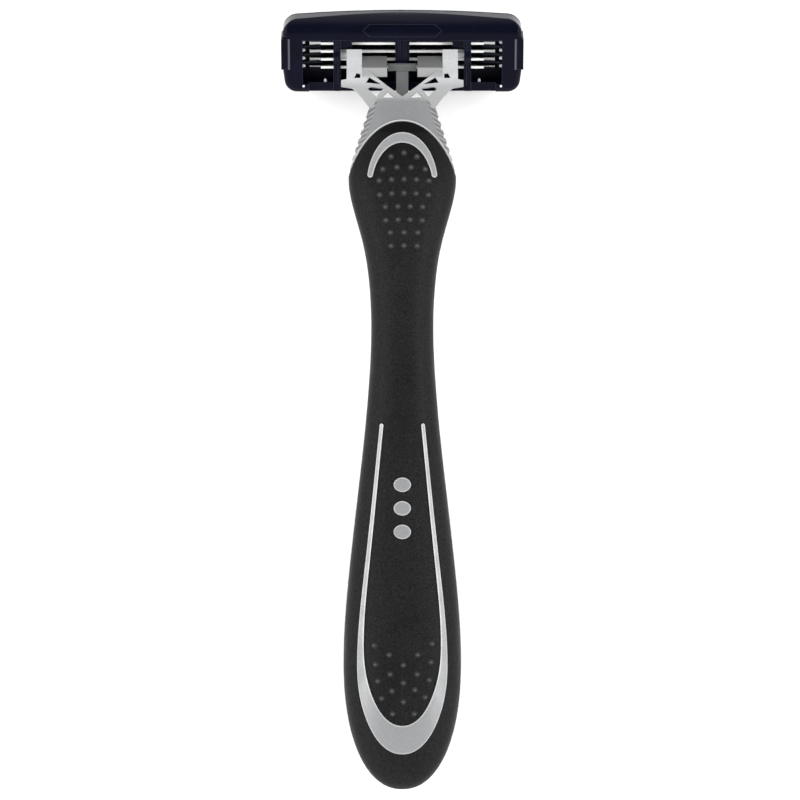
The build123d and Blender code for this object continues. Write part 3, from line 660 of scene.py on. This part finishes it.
def squarish(value):
    """Takes the sine or cosine of a circle to that of a rounded square."""
    return abs(value) ** 0.5 * (1 if value >= 0 else -1)


def finger(side, v):
    """Makes the mesh maker of one finger, a tapered strip with rounded edges."""

    def build(bm):
        loops = []
        for step in range(FINGER_STEPS + 1):
            share = step / FINGER_STEPS
            x, w, half = [through(*values, share) for values in zip(FINGER_ROOT, FINGER_MIDDLE, FINGER_TIP)]
            loop = []
            for corner in range(FINGER_SIDES):
                angle = 2 * pi * corner / FINGER_SIDES
                across = FINGER_HALF_WIDTH * squarish(cos(angle))
                deep = half * squarish(sin(angle))
                loop.append(bm.verts.new(on_cartridge(side * x, v + across, w + deep)))
            loops.append(loop)
        for low, high in zip(loops, loops[1:]):
            bridge(bm, low, high)
        bm.faces.new(loops[0])
        bm.faces.new(loops[-1])

    return build


def make_fingers():
    """Two fingers for each blade, in place of the CAD's plain pair."""
    for number in range(1, 5):
        v = FIRST_BLADE_V - (number - 1) * BLADE_PITCH + FINGER_OFFSET
        for side, label in ((-1, "left"), (1, "right")):
            obj = mesh_object(f"finger_{number}_{label}", finger(side, v), finger_plastic)
            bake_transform(obj)
            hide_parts(f"spring_fingers_{number}")


make_fingers()


# Small rounded studs moulded on the walls of the window, placed across, up and out of the back.
STUD_SIDES = 18
STUD_RINGS = 8
STUD_BLUNTNESS = 0.6
STUD_X = 17.45
STUD_W = -0.8
STUD_OFFSET = 0.5
STUD_RADIUS = 0.3 * MM
STUD_HEIGHT = 0.46 * MM
PEG = (13.5, -5.1, -0.7)
PEG_RADIUS = 0.28 * MM
PEG_HEIGHT = 0.5 * MM
BUMP = (17.3, -5.4, 1.12)
BUMP_RADIUS = 0.24 * MM
BUMP_HEIGHT = 0.16 * MM


def add_stud(bm, centre, out, radius, height):
    """A domed stud whose foot is sunk a little into a wall."""
    side = out.orthogonal().normalized()
    other = out.cross(side)
    loops = []
    for ring in range(STUD_RINGS):
        share = ring / STUD_RINGS
        size = radius * cos(share * pi / 2) ** STUD_BLUNTNESS
        foot = centre + out * (height * sin(share * pi / 2) if ring else -SINK)
        loop = []
        for step in range(STUD_SIDES):
            angle = 2 * pi * step / STUD_SIDES
            loop.append(bm.verts.new(foot + size * (cos(angle) * side + sin(angle) * other)))
        loops.append(loop)
    tip = bm.verts.new(centre + out * height)
    for low, high in zip(loops, loops[1:]):
        bridge(bm, low, high)
    cap(bm, loops[-1], tip)


def window_studs(bm):
    """A stud over each finger's root, a peg on the window's lower wall, and one beside it."""
    for side in (-1, 1):
        for number in range(4):
            v = FIRST_BLADE_V - number * BLADE_PITCH + STUD_OFFSET
            root = on_cartridge(side * STUD_X, v, STUD_W)
            add_stud(bm, root, -side * SIDEWAYS, STUD_RADIUS, STUD_HEIGHT)
        add_stud(bm, on_cartridge(side * PEG[0], *PEG[1:]), UP_CARTRIDGE, PEG_RADIUS, PEG_HEIGHT)
        add_stud(bm, on_cartridge(side * BUMP[0], *BUMP[1:]), OUT_OF_BACK, BUMP_RADIUS, BUMP_HEIGHT)


piece("window_studs", window_studs, stud_glint_plastic, "cartridge")


# ---------------------------------------------------------------- floor, light and camera
FLOOR_HALF = 3.0
FLOOR_Z = -0.2 * MM
# The room's brightness at its walls and its ceiling, and how much brighter it is ahead of the head.
ROOM_WALLS = 2.2
ROOM_CEILING = 0.5
ROOM_FRONT = 1.05
BOX_PLACE = (0.6, -0.1, 0.7)
BOX_SIZE = 0.4
BOX_POWER = 3.0


def make_floor():
    """A flat sheet of pale paper, just under the razor."""
    bm = bmesh.new()
    corners = [(-1, -1), (1, -1), (1, 1), (-1, 1)]
    bm.faces.new([bm.verts.new((x * FLOOR_HALF, y * FLOOR_HALF, FLOOR_Z)) for x, y in corners])
    mesh = bpy.data.meshes.new("floor")
    bm.to_mesh(mesh)
    bm.free()
    floor = bpy.data.objects.new("floor", mesh)
    bpy.context.collection.objects.link(floor)
    s = Shader("floor_paper", Roughness=0.9, Specular_IOR_Level=0.1)
    s.wire("Base Color", s.mix(s.noise(20 * MM, 2), grey(0.93), grey(0.95)))
    mesh.materials.append(s.material)


def area_light(name, place, size, power):
    """A soft square light that shines at the middle of the razor."""
    data = bpy.data.lights.new(name, "AREA")
    data.size = size
    data.energy = power
    light = bpy.data.objects.new(name, data)
    bpy.context.collection.objects.link(light)
    light.location = place
    light.rotation_euler = (-Vector(place)).to_track_quat("-Z", "Y").to_euler()


def make_light():
    """A white room with a dimmer ceiling, and two soft boxes."""
    world = bpy.data.worlds.new("studio")
    bpy.context.scene.world = world
    world.use_nodes = True
    tree = world.node_tree

    def ramp(value, start, end, low, high):
        node = tree.nodes.new("ShaderNodeMapRange")
        tree.links.new(value, node.inputs["Value"])
        for name, number in (("From Min", start), ("From Max", end), ("To Min", low), ("To Max", high)):
            node.inputs[name].default_value = number
        return node.outputs[0]

    place = tree.nodes.new("ShaderNodeTexCoord")
    parts = tree.nodes.new("ShaderNodeSeparateXYZ")
    tree.links.new(place.outputs["Generated"], parts.inputs[0])
    product = tree.nodes.new("ShaderNodeMath")
    product.operation = "MULTIPLY"
    tree.links.new(ramp(parts.outputs["Z"], 0.6, 0.95, ROOM_WALLS, ROOM_CEILING), product.inputs[0])
    tree.links.new(ramp(parts.outputs["Y"], -1, 1, 1.0, ROOM_FRONT), product.inputs[1])
    background = tree.nodes["Background"]
    background.inputs["Color"].default_value = (1, 1, 1, 1)
    tree.links.new(product.outputs[0], background.inputs["Strength"])
    for name, side in (("left_box", -1), ("right_box", 1)):
        area_light(name, (side * BOX_PLACE[0], *BOX_PLACE[1:]), BOX_SIZE, BOX_POWER)


def make_camera():
    """A long lens straight above, which sees PICTURE_WIDTH across at PICTURE_HEIGHT_Z."""
    data = bpy.data.cameras.new("camera")
    data.lens = LENS
    data.sensor_width = SENSOR
    data.clip_start = 0.01
    camera = bpy.data.objects.new("camera", data)
    bpy.context.collection.objects.link(camera)
    camera.location = (CAMERA_X, 0, PICTURE_HEIGHT_Z + PICTURE_WIDTH * LENS / SENSOR)
    bpy.context.scene.camera = camera


make_floor()
make_light()
make_camera()
bpy.context.scene.view_settings.view_transform = "Standard"
